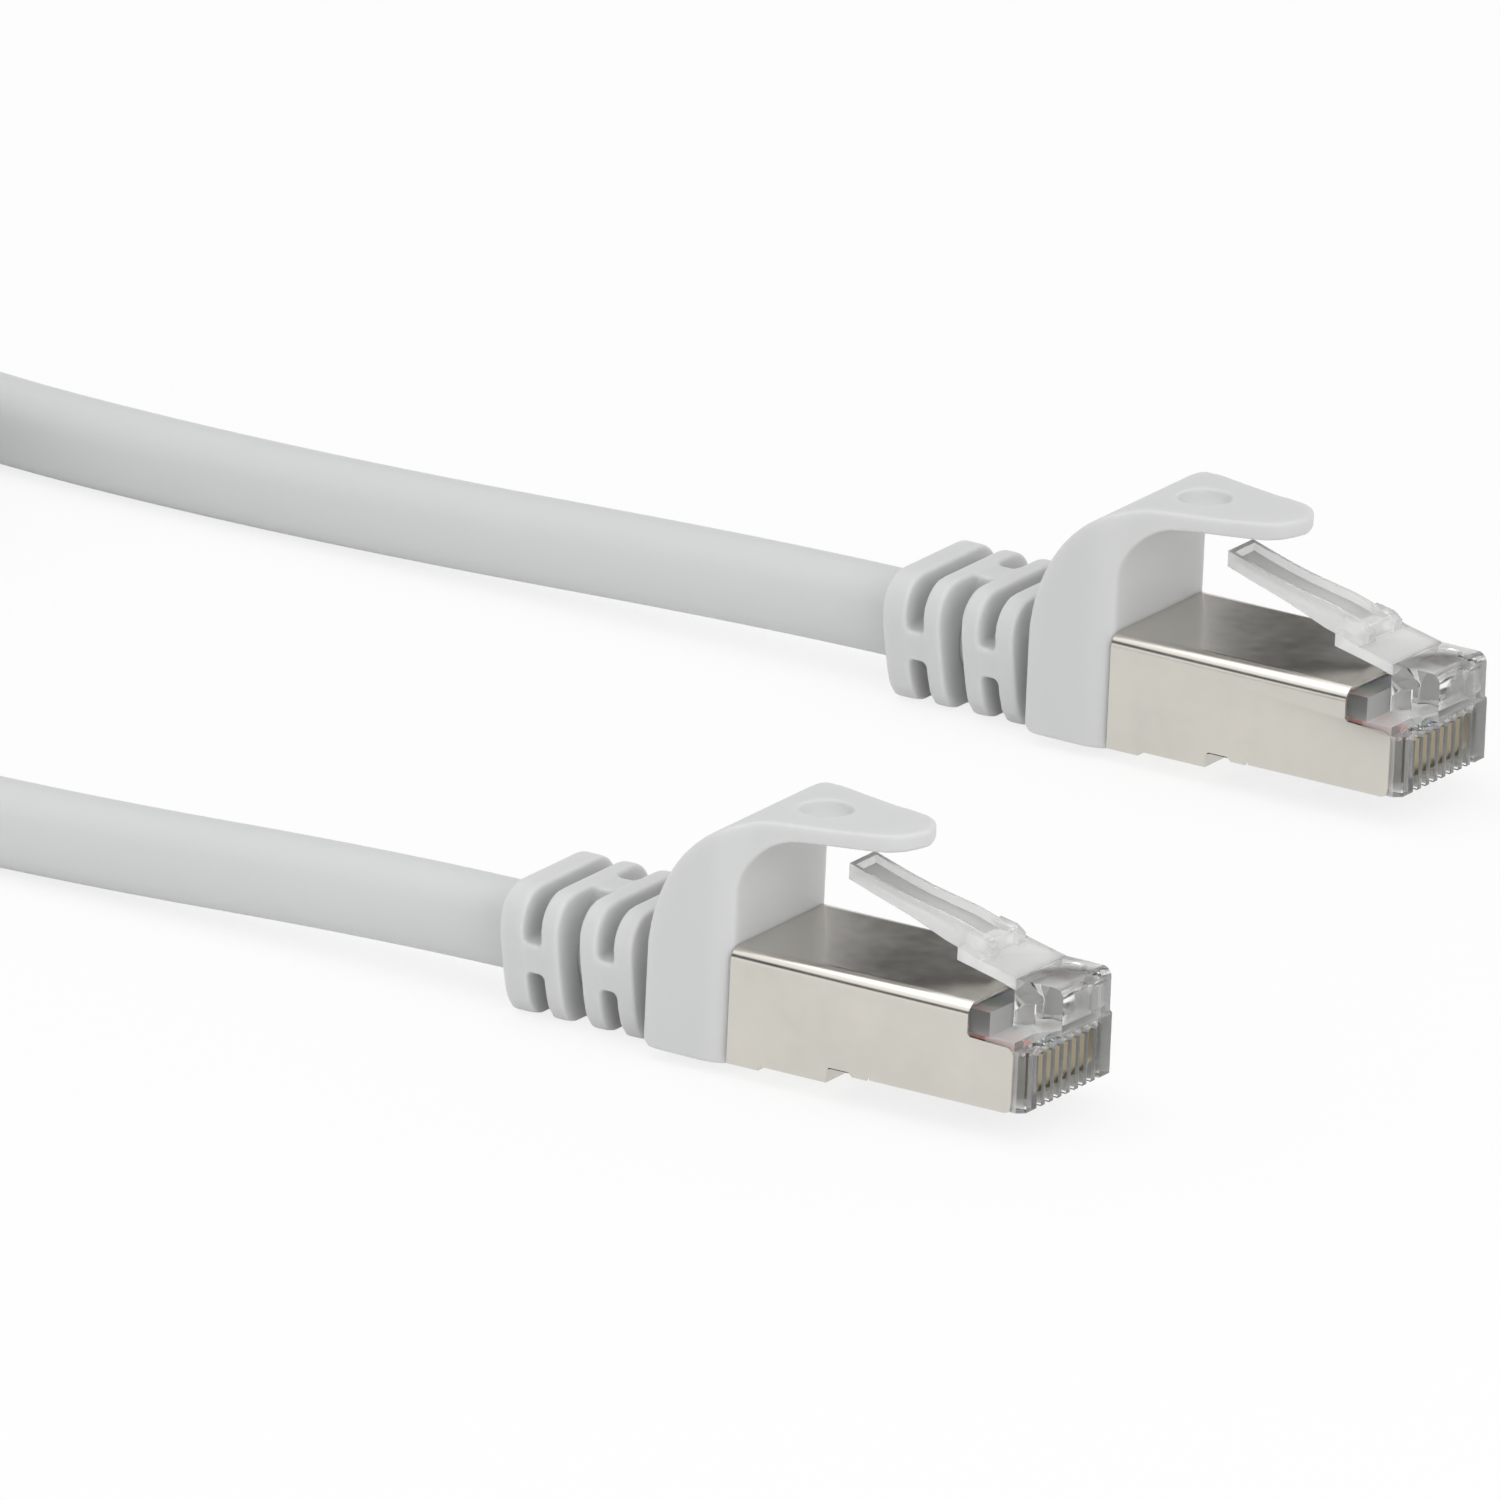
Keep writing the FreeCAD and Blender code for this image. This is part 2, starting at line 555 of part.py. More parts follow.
def coil_heading(turns):
    if turns <= 0:
        return Vec(-1, 0, 0)
    if turns >= COIL_TURNS:
        return Vec(1, 0, 0)
    return (coil_point(turns + 0.001) - coil_point(turns - 0.001)).normalize()


def tangent_arc(start, heading, end):
    chord = end - start
    sideways = heading - chord * (heading.dot(chord) / chord.dot(chord))
    angle = heading.getAngle(chord)
    bulge = sideways.normalize() * (chord.Length / 2 * math.tan(angle / 2))
    return Part.Arc(start, start + chord * 0.5 + bulge, end).toShape()


def biarc(start, heading, end, end_heading):
    gap = end - start
    both = heading + end_heading
    spread = 2 * (1 - heading.dot(end_heading))
    root = math.sqrt(gap.dot(both) ** 2 + spread * gap.dot(gap))
    reach = (root - gap.dot(both)) / spread
    joint = (start + end + (heading - end_heading) * reach) * 0.5
    arrive = tangent_arc(end, end_heading * -1, joint)
    return [tangent_arc(start, heading, joint), arrive]


def make_coil():
    first = coil_point(0)
    last = coil_point(COIL_TURNS)
    run = Vec(COIL_END_RUN, 0, 0)
    edges = [Part.LineSegment(first + run, first).toShape()]
    count = int(COIL_TURNS * STEPS_PER_TURN)
    for index in range(count):
        here = index / STEPS_PER_TURN
        there = (index + 1) / STEPS_PER_TURN
        edges += biarc(coil_point(here), coil_heading(here), coil_point(there), coil_heading(there))
    edges.append(Part.LineSegment(last, last + run).toShape())
    print("coil length mm", round(sum(edge.Length for edge in edges), 1))
    return tube_along(edges, CABLE_RADIUS)


def coil_gap():
    points = [coil_point(index / 72) for index in range(int(COIL_TURNS * 72) + 1)]
    least = min((points[a] - points[b]).Length
                for a in range(len(points)) for b in range(a + 24, len(points)))
    return least - 2 * CABLE_RADIUS


def lead_route(exit_x, lane, slope_run, coil_start, coil_run, label):
    down = exit_x - EXIT_RUN
    touch = down - slope_run
    turn = touch - FLOOR_RUN
    points = [Vec(exit_x, lane, CABLE_AXIS_Z), Vec(down, lane, CABLE_AXIS_Z),
              Vec(touch, lane, CABLE_FLOOR_Z), Vec(turn, lane, CABLE_FLOOR_Z),
              coil_start + Vec(coil_run, 0, 0), coil_start]
    return tube_along(rounded_route(points, label), CABLE_RADIUS)


def make_leads():
    run = Vec(COIL_END_RUN, 0, 0)
    lead_a = lead_route(BOOT_END, 0, SLOPE_RUN_REAR, coil_point(0) + run, COIL_RUN_REAR, "lead a")
    lead_b = lead_route(BOOT_END + PLUG_STEP_X, PLUG_STEP_Y, SLOPE_RUN_FRONT,
                        coil_point(COIL_TURNS) + run, COIL_RUN_FRONT, "lead b")
    return lead_a, lead_b


# All pieces of one plug, by name
def make_plug():
    contacts = make_contacts()
    boot, arm = make_boot_and_arm()
    pieces = {"plug_housing": make_housing(), "latch": make_latch(), "contacts": contacts,
              "load_bar": make_load_bar(), "shield": make_shield(), "boot": boot, "boot_arm": arm,
              "jacket_end": make_jacket_end(), "braid": make_braid(), "pair_foils": make_pair_foils()}
    for name, places, foil in pair_layout():
        pieces["conductors_" + name] = make_pair_wires(places, foil, contacts)
    return pieces


def main():
    os.makedirs("parts", exist_ok=True)
    middle_x = (BOOT_END + BLOCK_FRONT + PLUG_STEP_X) / 2
    shift = Vec(-middle_x, -PLUG_STEP_Y / 2, -FLOOR_Z)
    places = {"a": shift, "b": shift + Vec(PLUG_STEP_X, PLUG_STEP_Y, 0)}
    plug = make_plug()
    nodes = {}
    for suffix, place in places.items():
        for name, shape in plug.items():
            moved = shape.copy()
            moved.translate(place)
            nodes[name + "_" + suffix] = moved
    lead_a, lead_b = make_leads()
    for name, shape in (("cable_lead_a", lead_a), ("cable_coil", make_coil()), ("cable_lead_b", lead_b)):
        shape.translate(shift)
        nodes[name] = shape
    print("least gap between cable loops mm", round(coil_gap(), 2))
    print("plug a at", [round(v, 3) for v in places["a"]], "plug b at", [round(v, 3) for v in places["b"]])
    for name, shape in nodes.items():
        box = shape.BoundBox
        print(name, shape.isValid(), "solids", len(shape.Solids), "volume", round(shape.Volume, 1),
              "x", round(box.XMin, 2), round(box.XMax, 2), "y", round(box.YMin, 2), round(box.YMax, 2),
              "z", round(box.ZMin, 2), round(box.ZMax, 2))
        shape.exportStep("parts/" + name + ".step")


main()
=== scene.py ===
# %% [markdown]
# A network patch cable lies on a white table. It has two equal plugs, and each plug has a
# clear nose with a springy latch, a folded metal shield and a soft moulded boot. The CAD
# model is loaded first as a fixed frame. Its pieces tell every new piece where to sit, and
# its moving bodies tell every new piece what to move with.

# %% Load the frame
import bmesh
import bpy
import math
from mathutils import Matrix, Vector


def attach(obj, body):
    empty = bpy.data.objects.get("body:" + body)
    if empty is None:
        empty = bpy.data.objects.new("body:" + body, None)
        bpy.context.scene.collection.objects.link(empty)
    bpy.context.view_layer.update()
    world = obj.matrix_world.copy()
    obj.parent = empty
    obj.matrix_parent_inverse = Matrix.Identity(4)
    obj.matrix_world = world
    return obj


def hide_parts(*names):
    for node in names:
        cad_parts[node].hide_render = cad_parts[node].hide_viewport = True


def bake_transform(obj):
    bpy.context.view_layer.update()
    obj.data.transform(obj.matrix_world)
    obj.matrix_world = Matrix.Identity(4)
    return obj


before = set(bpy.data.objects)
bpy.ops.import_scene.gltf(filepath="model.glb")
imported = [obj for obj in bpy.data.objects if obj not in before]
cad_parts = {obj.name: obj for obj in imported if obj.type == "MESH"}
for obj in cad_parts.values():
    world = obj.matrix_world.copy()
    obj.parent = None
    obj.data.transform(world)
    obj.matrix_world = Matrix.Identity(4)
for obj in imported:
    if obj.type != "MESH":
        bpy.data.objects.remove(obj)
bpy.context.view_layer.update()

# %% [markdown]
# Blender works in metres, but a plug is easier to think about in millimetres. So each piece
# is drawn in millimetres around one plug: X 0 at the front of the comb, +X out of the nose,
# +Y to the far side, Z 0 at the contact side. A small helper then makes it metres and moves
# it to the rear plug (a) or the front plug (b).

# %% Units and places
MM = 0.001
PLUG_PLACES = {"a": Vector((12.3, 34.7, 2.1)), "b": Vector((26.2, -34.7, 2.1))}
TABLE_TO_PLUG = 2.1


def place_piece(mesh, name, suffix):
    """A copy of a millimetre mesh as an object in metres at one plug."""
    copy = mesh.copy()
    copy.transform(Matrix.Translation(PLUG_PLACES[suffix]))
    copy.transform(Matrix.Scale(MM, 4))
    piece = bpy.data.objects.new(name + "_" + suffix, copy)
    bpy.context.scene.collection.objects.link(piece)
    return piece


print("plug a lies", round((PLUG_PLACES["a"] - PLUG_PLACES["b"]).length, 1), "mm from plug b")

# %% [markdown]
# The photograph was taken with a long lens, because both plugs show the same size although
# one is nearer. The camera stands to the front left, looks a little down and is tipped by a
# few degrees. Its direction was worked out from edges of the plug whose real sizes are known.

# %% Camera
CAMERA_AZIMUTH = math.radians(30.92)
CAMERA_HEIGHT_ANGLE = math.radians(18.62)
CAMERA_TIP = math.radians(2.63)
CAMERA_DISTANCE = 4.4
VIEW_WIDTH = 97.23 * MM
CAMERA_TARGET = (Vector((-35.46, -28.47, 1.78)) + PLUG_PLACES["a"]) * MM

forward = Vector((-math.sin(CAMERA_AZIMUTH) * math.cos(CAMERA_HEIGHT_ANGLE),
                  math.cos(CAMERA_AZIMUTH) * math.cos(CAMERA_HEIGHT_ANGLE),
                  -math.sin(CAMERA_HEIGHT_ANGLE)))
level_right = Vector((math.cos(CAMERA_AZIMUTH), math.sin(CAMERA_AZIMUTH), 0))
level_up = level_right.cross(forward)
camera_right = level_right * math.cos(CAMERA_TIP) + level_up * math.sin(CAMERA_TIP)
camera_up = level_up * math.cos(CAMERA_TIP) - level_right * math.sin(CAMERA_TIP)

camera_data = bpy.data.cameras.new("camera")
camera_data.sensor_width = 36
camera_data.lens = camera_data.sensor_width * CAMERA_DISTANCE / VIEW_WIDTH
camera_data.clip_start = 0.1
camera_data.clip_end = 10 * CAMERA_DISTANCE
camera = bpy.data.objects.new("camera", camera_data)
turn = Matrix((camera_right, camera_up, -forward)).transposed().to_4x4()
camera.matrix_world = Matrix.Translation(CAMERA_TARGET - forward * CAMERA_DISTANCE) @ turn
bpy.context.scene.collection.objects.link(camera)
bpy.context.scene.camera = camera
print("lens", round(camera_data.lens), "mm, view", round(VIEW_WIDTH / MM, 1), "mm wide")

# %% [markdown]
# The cable is one round cord of fixed length that leaves one boot and goes into the other.
# It runs down to the table, and the length that the photograph doesn't show is wound in
# loops beyond the left edge of the picture. One smooth curve through a few given points
# keeps it free of kinks. The loops are so even that a formula sets their points: the cable
# winds in to the middle, climbs one layer, and winds out again on top.

# %% Cable route
CABLE_RADIUS = 2.9
CABLE_AXIS = 2.4
ON_TABLE = CABLE_RADIUS - TABLE_TO_PLUG
BOOT_END = -39.6
LANE_B = -69.4
EXIT_B = BOOT_END + 13.9
COIL_CENTRE = Vector((-137.7, LANE_B / 2, 0))
COIL_RADIUS = 38.0
COIL_PITCH = 6.4
COIL_TURNS = 3.5
LAYER_STEP = 6.3
POINTS_PER_TURN = 24

lead_a = [(BOOT_END, 0, CABLE_AXIS), (-50, 0, CABLE_AXIS), (-84, 0, ON_TABLE), (-110, 0, ON_TABLE),
          (-122.5, 3.3, ON_TABLE), (-131.9, 3.3, ON_TABLE)]
lead_b = [(-131.9, -72.7, ON_TABLE + LAYER_STEP), (-119.5, -72.7, ON_TABLE + LAYER_STEP),
          (-90.1, LANE_B, ON_TABLE), (-64.1, LANE_B, ON_TABLE), (-36.1, LANE_B, CABLE_AXIS),
          (EXIT_B, LANE_B, CABLE_AXIS)]


def coil_point(turns):
    middle = COIL_TURNS / 2
    radius = COIL_RADIUS - COIL_PITCH * (middle - abs(turns - middle))
    angle = 2 * math.pi * (turns + 0.25)
    climb = min(max((turns - middle) * 2 + 0.5, 0), 1)
    height = ON_TABLE + LAYER_STEP * climb * climb * (3 - 2 * climb)
    return COIL_CENTRE + Vector((radius * math.cos(angle), radius * math.sin(angle), height))


coil = [coil_point(step / POINTS_PER_TURN) for step in range(int(COIL_TURNS * POINTS_PER_TURN) + 1)]
route = [Vector(point) for point in lead_a] + coil + [Vector(point) for point in lead_b]
route = [(point + PLUG_PLACES["a"]) * MM for point in route]
print("route points", len(route))

# %% Cable curve
cable_data = bpy.data.curves.new("cable", "CURVE")
cable_data.dimensions = "3D"
cable_data.bevel_depth = 1
cable_data.bevel_resolution = 14
cable_data.resolution_u = 16
cable_line = cable_data.splines.new("NURBS")
cable_line.points.add(len(route) - 1)
for knot, point in zip(cable_line.points, route):
    knot.co = (point.x, point.y, point.z, 1)
    knot.radius = CABLE_RADIUS * MM
cable_line.order_u = 3
cable_line.use_endpoint_u = True
cable_line.use_smooth = True
cable = bpy.data.objects.new("cable", cable_data)
bpy.context.scene.collection.objects.link(cable)
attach(cable, "root")
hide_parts("cable_lead_a", "cable_coil", "cable_lead_b")

# %% [markdown]
# Most forms here are cut from plates, blocks and rods, so a few helpers make those as plain
# closed meshes in millimetres. One more helper joins or cuts them with Blender's exact
# Boolean modifier and hands back a new mesh.

# %% Mesh helpers
def mesh_of(build):
    """A mesh from a function that fills an empty bmesh."""
    shape = bmesh.new()
    build(shape)
    bmesh.ops.recalc_face_normals(shape, faces=shape.faces)
    mesh = bpy.data.meshes.new("shape")
    shape.to_mesh(mesh)
    shape.free()
    return mesh


def prism(outline, low, high, axis):
    """A flat outline pushed out along one axis. Its two numbers are the other two axes in order."""
    def build(shape):
        def corner(point, depth):
            values = list(point)
            values.insert("XYZ".index(axis), depth)
            return shape.verts.new(values)
        first = [corner(point, low) for point in outline]
        last = [corner(point, high) for point in outline]
        shape.faces.new(first)
        shape.faces.new(list(reversed(last)))
        for index in range(len(outline)):
            after = (index + 1) % len(outline)
            shape.faces.new((first[index], last[index], last[after], first[after]))
    return mesh_of(build)


def plate(along, across, height):
    outline = [(along[0], across[0]), (along[1], across[0]), (along[1], across[1]), (along[0], across[1])]
    return prism(outline, height[0], height[1], "Z")


def round_points(centre, radius, start, end, steps):
    angles = [math.radians(start + (end - start) * step / steps) for step in range(steps + 1)]
    return [(centre[0] + radius * math.cos(angle), centre[1] + radius * math.sin(angle)) for angle in angles]


def rod(radius, rear, front, across=0.0, height=CABLE_AXIS, steps=64):
    return prism(round_points((across, height), radius, 0, 360 - 360 / steps, steps - 1), rear, front, "X")


def with_modifiers(mesh, add):
    """A new mesh from this one after the modifiers that add(object) puts on."""
    holder = bpy.data.objects.new("holder", mesh)
    bpy.context.scene.collection.objects.link(holder)
    add(holder)
    bpy.context.view_layer.update()
    result = bpy.data.meshes.new_from_object(holder.evaluated_get(bpy.context.evaluated_depsgraph_get()))
    bpy.data.objects.remove(holder)
    return result


def combine(base, others, operation):
    """The base mesh after a union, difference or intersection with each other mesh."""
    for other in others:
        tool = bpy.data.objects.new("tool", other)
        bpy.context.scene.collection.objects.link(tool)

        def add(holder):
            step = holder.modifiers.new("cut", "BOOLEAN")
            step.operation = operation
            step.solver = "EXACT"
            step.object = tool
        base = with_modifiers(base, add)
        bpy.data.objects.remove(tool)
    return base


def joined(meshes):
    """Several meshes as one, left as they are."""
    shape = bmesh.new()
    for mesh in meshes:
        shape.from_mesh(mesh)
    result = bpy.data.meshes.new("joined")
    shape.to_mesh(result)
    shape.free()
    return result


def soften(mesh, grain, rounds):
    """One closed skin around overlapping solids, with its edges rounded by smoothing."""
    def add(holder):
        remesh = holder.modifiers.new("skin", "REMESH")
        remesh.mode = "VOXEL"
        remesh.voxel_size = grain
        smooth = holder.modifiers.new("smooth", "SMOOTH")
        smooth.factor = 0.5
        smooth.iterations = rounds
    result = with_modifiers(mesh, add)
    result.shade_smooth()
    return result


BEVEL_FROM_ANGLE = math.radians(30)
SHARP_FROM_ANGLE = math.radians(28)


def crisp(mesh, width, segments=3):
    """Small bevels on every sharp edge, and smooth shading between the flats."""
    def add(holder):
        bevel = holder.modifiers.new("bevel", "BEVEL")
        bevel.width = width
        bevel.segments = segments
        bevel.limit_method = "ANGLE"
        bevel.angle_limit = BEVEL_FROM_ANGLE
        bevel.use_clamp_overlap = True
    result = with_modifiers(mesh, add)
    result.shade_smooth()
    result.set_sharp_from_angle(angle=SHARP_FROM_ANGLE)
    return result


test_block = crisp(plate((0, 1), (0, 1), (0, 1)), 0.1)
print("helpers ready, a bevelled block has", len(test_block.polygons), "faces")
bpy.data.meshes.remove(test_block)

# %% [markdown]
# The boot is one soft moulding: a hood whose back curves up like a wave, a thin press arm
# that reaches forward over the latch, and four rings behind it that let the cable bend.
# Its edges are all a little round. So the rough solids are laid over each other, the cable's
# hole and the finger dish are cut out, and a fine skin is drawn around the whole and smoothed.

# %% Boot: hood and arm
SHIELD_REAR = -22.0
BOOT_REAR = -28.2
BOOT_HALF = 6.2
BOOT_LOW = -1.4
HOOD_TOP = 15.2
ARM_TIP = -11.1
ARM_TIP_TOP = 15.4
ARM_THICKNESS = 1.2
UNDER_CENTRE = (-18.3, 10.3)
UNDER_RADIUS = 3.7
BACK_CENTRE = (-20.0, 5.0)
BACK_STEPS = 20

back_angles = [math.pi / 2 * step / BACK_STEPS for step in range(BACK_STEPS + 1)]
back_curve = [(BACK_CENTRE[0] + (BOOT_REAR - BACK_CENTRE[0]) * math.sin(angle),
               BACK_CENTRE[1] + (HOOD_TOP - BACK_CENTRE[1]) * math.cos(angle)) for angle in back_angles]
under_curve = round_points(UNDER_CENTRE, UNDER_RADIUS, 180, 90, 14)
hood_side = [(SHIELD_REAR, BOOT_LOW), (BOOT_REAR + 0.5, BOOT_LOW + 0.1), (BOOT_REAR, BOOT_LOW + 0.6)]
hood_side += list(reversed(back_curve))
hood_side += [(-15.6, 15.22), (-13.0, 15.36), (ARM_TIP, ARM_TIP_TOP),
              (ARM_TIP, ARM_TIP_TOP - ARM_THICKNESS)]
hood_side += [(-13.0, 14.12)] + list(reversed(under_curve))

# half widths of hood and arm seen from above, from the hood's front corner to the arm's tip
PLAN = [(-23.6, 6.2), (-23.1, 6.1), (-22.5, 5.85), (-21.9, 5.45), (-21.25, 4.98), (-20.4, 4.7),
        (-19.5, 4.44), (-18.5, 4.18), (-17.3, 3.88), (-15.8, 3.52), (-14.6, 3.22), (-13.6, 2.95),
        (-12.8, 2.66), (-12.2, 2.3), (-11.75, 1.82), (-11.45, 1.2), (-11.25, 0.6)]
BEHIND_BOOT = -30.0
plan_outline = [(BEHIND_BOOT, -BOOT_HALF)] + [(x, -half) for x, half in PLAN] + [(ARM_TIP, 0)]
plan_outline += [(x, half) for x, half in reversed(PLAN)] + [(BEHIND_BOOT, BOOT_HALF)]

hood = prism(hood_side, -BOOT_HALF, BOOT_HALF, "Y")
hood = combine(hood, [prism(plan_outline, -5, 20, "Z")], "INTERSECT")
print("hood faces", len(hood.polygons))

# %% Boot: strain relief rings and bridges
RINGS = [(-39.6, -37.8), (-36.5, -35.2), (-33.6, -32.25), (-31.0, -29.6)]
RING_LOW = -2.1
RING_HIGH = 6.9
RING_HALF = 5.75
RING_CORNER = 2.3
RING_SIDE = [(2.7, RING_LOW), (3.7, -1.8), (4.45, -0.9), (4.85, 0.2), (5.15, 1.4), (5.5, 2.85), (5.7, 4.0)]
ring_corner = round_points((RING_HALF - RING_CORNER, RING_HIGH - RING_CORNER), RING_CORNER, 0, 90, 8)
ring_half_outline = RING_SIDE + ring_corner
ring_outline = ring_half_outline + [(-across, height) for across, height in reversed(ring_half_outline)]
BRIDGE_HALF = 1.05
BRIDGE_LOW_HALF = 5.07
BRIDGE_HIGH_HALF = 5.55
TOP_BRIDGE_HALF = 1.4
INTO_RING = 0.3
SUNK = 0.15
side_bridge = [(BRIDGE_LOW_HALF, CABLE_AXIS - BRIDGE_HALF), (BRIDGE_HIGH_HALF, CABLE_AXIS + BRIDGE_HALF),
               (-BRIDGE_HIGH_HALF, CABLE_AXIS + BRIDGE_HALF), (-BRIDGE_LOW_HALF, CABLE_AXIS - BRIDGE_HALF)]
ring_ends = [rear for rear, front in RINGS[1:]] + [BOOT_REAR]
relief = []
for index, ((rear, front), next_rear) in enumerate(zip(RINGS, ring_ends)):
    relief.append(prism(ring_outline, rear, front, "X"))
    along = (front - INTO_RING, next_rear + INTO_RING)
    if index % 2 == 0:
        relief.append(prism(side_bridge, along[0], along[1], "X"))
    else:
        relief.append(plate(along, (-TOP_BRIDGE_HALF, TOP_BRIDGE_HALF), (RING_LOW + SUNK, RING_HIGH - SUNK)))
print("relief solids", len(relief))

# %% Boot: holes, dish and soft skin
ROUGH_GRAIN = 0.14
FINE_GRAIN = 0.13
CABLE_HOLE = 2.93
CRIMP_HOLE = 3.33
DISH_HALF = 1.8
DISH_DEPTH = 1.02
DISH_MIDDLE = -18.95
boot_rough = soften(joined([hood] + relief), ROUGH_GRAIN, 2)


def dish_ball(shape):
    bmesh.ops.create_icosphere(shape, subdivisions=5, radius=DISH_HALF)
    bmesh.ops.scale(shape, verts=shape.verts, vec=(1, 1, DISH_DEPTH / DISH_HALF))
    bmesh.ops.translate(shape, verts=shape.verts, vec=(DISH_MIDDLE, 0, HOOD_TOP))


holes = [rod(CABLE_HOLE, -41, -26), rod(CRIMP_HOLE, -26.6, -21)]
boot_cut = combine(boot_rough, holes + [mesh_of(dish_ball)], "DIFFERENCE")
boot_mesh = soften(boot_cut, FINE_GRAIN, 6)
print("boot faces", len(boot_mesh.polygons))

# %% Boot: place both
boots = []
for suffix in "ab":
    boot = place_piece(boot_mesh, "boot_moulding", suffix)
    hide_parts("boot_" + suffix, "boot_arm_" + suffix)
    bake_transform(boot)
    boots.append(boot)
print("boots", [boot.name for boot in boots])

# %% [markdown]
# The shield is one sheet of nickel-plated metal a quarter of a millimetre thick, folded down
# over the housing on both sides. A folded sheet is a thick arch pushed along the plug, and
# its side outline, with the folds and slits along the lower edge, is cut with a second form.
# Every cut edge gets a fine bevel so that it catches the light.

# %% Shield
SHEET = 0.25
SHIELD_HALF = 5.95
SHIELD_TOP = 6.7
SHIELD_EDGE = 0.05
BEND = 0.95
PRESS_LINE = 0.012


def arch_outline(half, top, bend, low):
    right = [(half, low)] + round_points((half - bend, top - bend), bend, 0, 90, 12)
    right += [(half - bend - 0.22, top - 0.003), (half - bend - 0.4, top - PRESS_LINE)]
    return right + [(-across, height) for across, height in reversed(right)]


outer = arch_outline(SHIELD_HALF, SHIELD_TOP, BEND, -1.2)
inner = arch_outline(SHIELD_HALF - SHEET, SHIELD_TOP - SHEET, BEND - SHEET, -1.2)
shell = prism(outer + list(reversed(inner)), SHIELD_REAR, -0.7, "X")
side_cut = [(-22.0, -1.15), (-19.6, -1.15), (-19.6, -0.78), (-19.4, -0.78), (-19.4, -0.85), (-14.5, -0.85),
            (-14.5, 0.02), (-14.4, 0.15), (-14.25, 0.2), (-12.85, 0.2), (-12.6, -0.07),
            (-11.5, -0.07), (-11.5, 0.14), (-11.3, 0.14), (-11.3, 0.0), (-1.15, 0.0), (-0.85, 0.1),
            (-0.7, 0.4), (-0.7, 3.85), (-0.8, 4.15), (-1.1, 4.4), (-3.95, 4.53), (-4.15, 4.75),
            (-4.15, 8.0), (-22.0, 8.0)]
shield = combine(shell, [prism(side_cut, -8, 8, "Y")], "INTERSECT")
floors = [plate((-22.0, -19.6), (-5.9, 5.9), (-1.15, -0.9)), plate((-19.4, -14.5), (-5.9, 5.9), (-0.85, -0.6)),
          plate((-14.74, -14.5), (-5.9, 5.9), (-0.7, -0.04))]
shield = combine(shield, floors, "UNION")
shield_mesh = crisp(shield, SHIELD_EDGE)
for suffix in "ab":
    piece = place_piece(shield_mesh, "shield_sheet", suffix)
    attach(piece, "root")
    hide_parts("shield_" + suffix)
print("shield faces", len(shield_mesh.polygons))

# %% [markdown]
# The housing is moulded from clear plastic. Its low front block is a comb with a slot for
# each contact, a narrower block stands above and in front of it, and the hollow inside holds
# the wires. It is cut from blocks, and fine bevels give the bright rims of the real nose.

# %% Clear housing
WIRE_PITCH = 1.02
SLOT_HALF = 0.26
CLEAR_EDGE = 0.07
contact_rows = [(index - 3.5) * WIRE_PITCH for index in range(8)]
nose_side = [(-2.55, 3.6), (-0.5, 3.6), (0.0, 4.8), (1.1, 4.8), (1.1, 7.3)]
nose_side += round_points((0.4, 7.3), 0.7, 0, 90, 8) + [(-2.55, 8.0)]
housing = plate((-20.4, -2.7), (-5.6, 5.6), (0, 6.35))
blocks = [plate((-20.4, -14.8), (-5.6, 5.6), (-0.5, 1.0)), plate((-3.0, -0.8), (-5.6, 5.6), (0.02, 4.7)),
          prism([(-3.0, -5.58), (-0.5, -5.58), (0, -5.1), (0, 5.1), (-0.5, 5.58), (-3.0, 5.58)], 0.0, 4.1, "Z"),
          prism(nose_side, -2.95, 2.95, "Y")]
housing = combine(housing, blocks, "UNION")
hollows = [plate((-21.0, -9.0), (-4.4, 4.4), (0.4, 5.6)), plate((-10.0, -1.2), (-4.15, 4.15), (3.42, 4.38))]
comb_slots = []
for row in contact_rows:
    comb_slots.append(plate((-5.3, -1.1), (row - SLOT_HALF, row + SLOT_HALF), (-1.0, 3.8)))
    comb_slots.append(plate((-1.3, 1.0), (row - SLOT_HALF, row + SLOT_HALF), (-1.0, 3.7)))
pocket_side = [(-2.45, 5.0), (-1.9, 4.9), (-1.0, 5.15), (-1.0, 6.55), (-1.9, 6.35), (-2.45, 5.8)]
pockets = [prism(pocket_side, -3.5, -2.65, "Y"), prism(pocket_side, 2.65, 3.5, "Y")]
housing = combine(housing, hollows + comb_slots + pockets, "DIFFERENCE")
housing_mesh = crisp(housing, CLEAR_EDGE)


def mark_faces(mesh, belongs, index):
    """Gives the faces whose middle and normal pass the test another material slot."""
    count = 0
    for face in mesh.polygons:
        if belongs(face.center, face.normal):
            face.material_index = index
            count += 1
    return count


def inside_hollow(middle, normal):
    return -20.9 < middle.x < -1.15 and abs(middle.y) < 4.45 and 0.36 < middle.z < 5.64


def comb_end(middle, normal):
    return middle.x > -3.0 and abs(middle.y) > 5.45


# Pocket walls: painted shade. They get a grey, half-clear material so the pockets read dark inside the clear
# nose.
def inside_pocket(middle, normal):
    in_side = -2.6 < middle.x < -0.9 and 4.85 < middle.z < 6.6
    return abs(normal.y) > 0.8 and in_side and 2.5 < abs(middle.y) < 2.8


frosted_faces = mark_faces(housing_mesh, inside_hollow, 1)
frosted_faces += mark_faces(housing_mesh, comb_end, 1)
dark_faces = mark_faces(housing_mesh, inside_pocket, 2)
print("housing faces", len(housing_mesh.polygons), "frosted", frosted_faces, "in pockets", dark_faces)

# %% [markdown]
# The latch grows out of the nose and rises to the back. Its root is a flat frosted pad, its
# shoulders lock into the socket, and its lever is a shallow trough with a rim all round.

